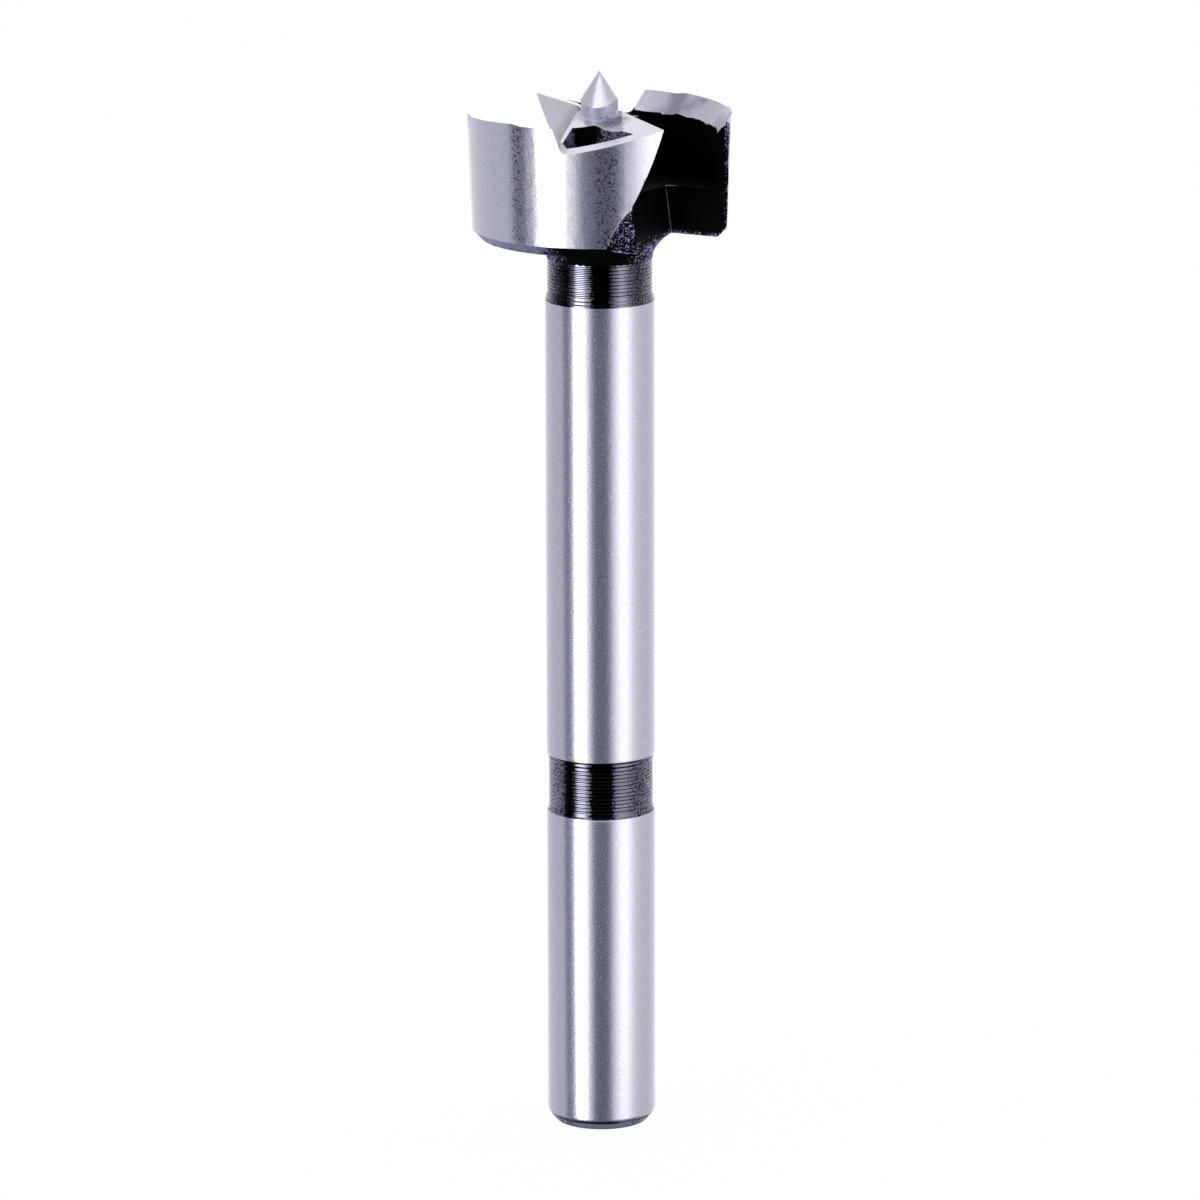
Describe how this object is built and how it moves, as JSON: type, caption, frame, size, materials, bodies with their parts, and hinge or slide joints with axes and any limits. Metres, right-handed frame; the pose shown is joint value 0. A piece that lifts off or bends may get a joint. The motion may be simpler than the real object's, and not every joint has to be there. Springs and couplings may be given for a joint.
{
  "type": "forstner bit",
  "caption": "Steel wood-boring bit with a round shank, a slim neck and a short wide head that carries a centre point, radial cutting lips and ground rim edges.",
  "frame": {"origin": "centre of the shank's end face", "axes": "+Z along the bit's axis from shank to point; the cutting lips lie 66.5 degrees clockwise of +X, seen from the point"},
  "size_m": [0.024, 0.0238, 0.0987],
  "materials": {
    "steel": "ground"
  },
  "bodies": {
    "root": {"bit": "steel"}
  },
  "joints": []
}
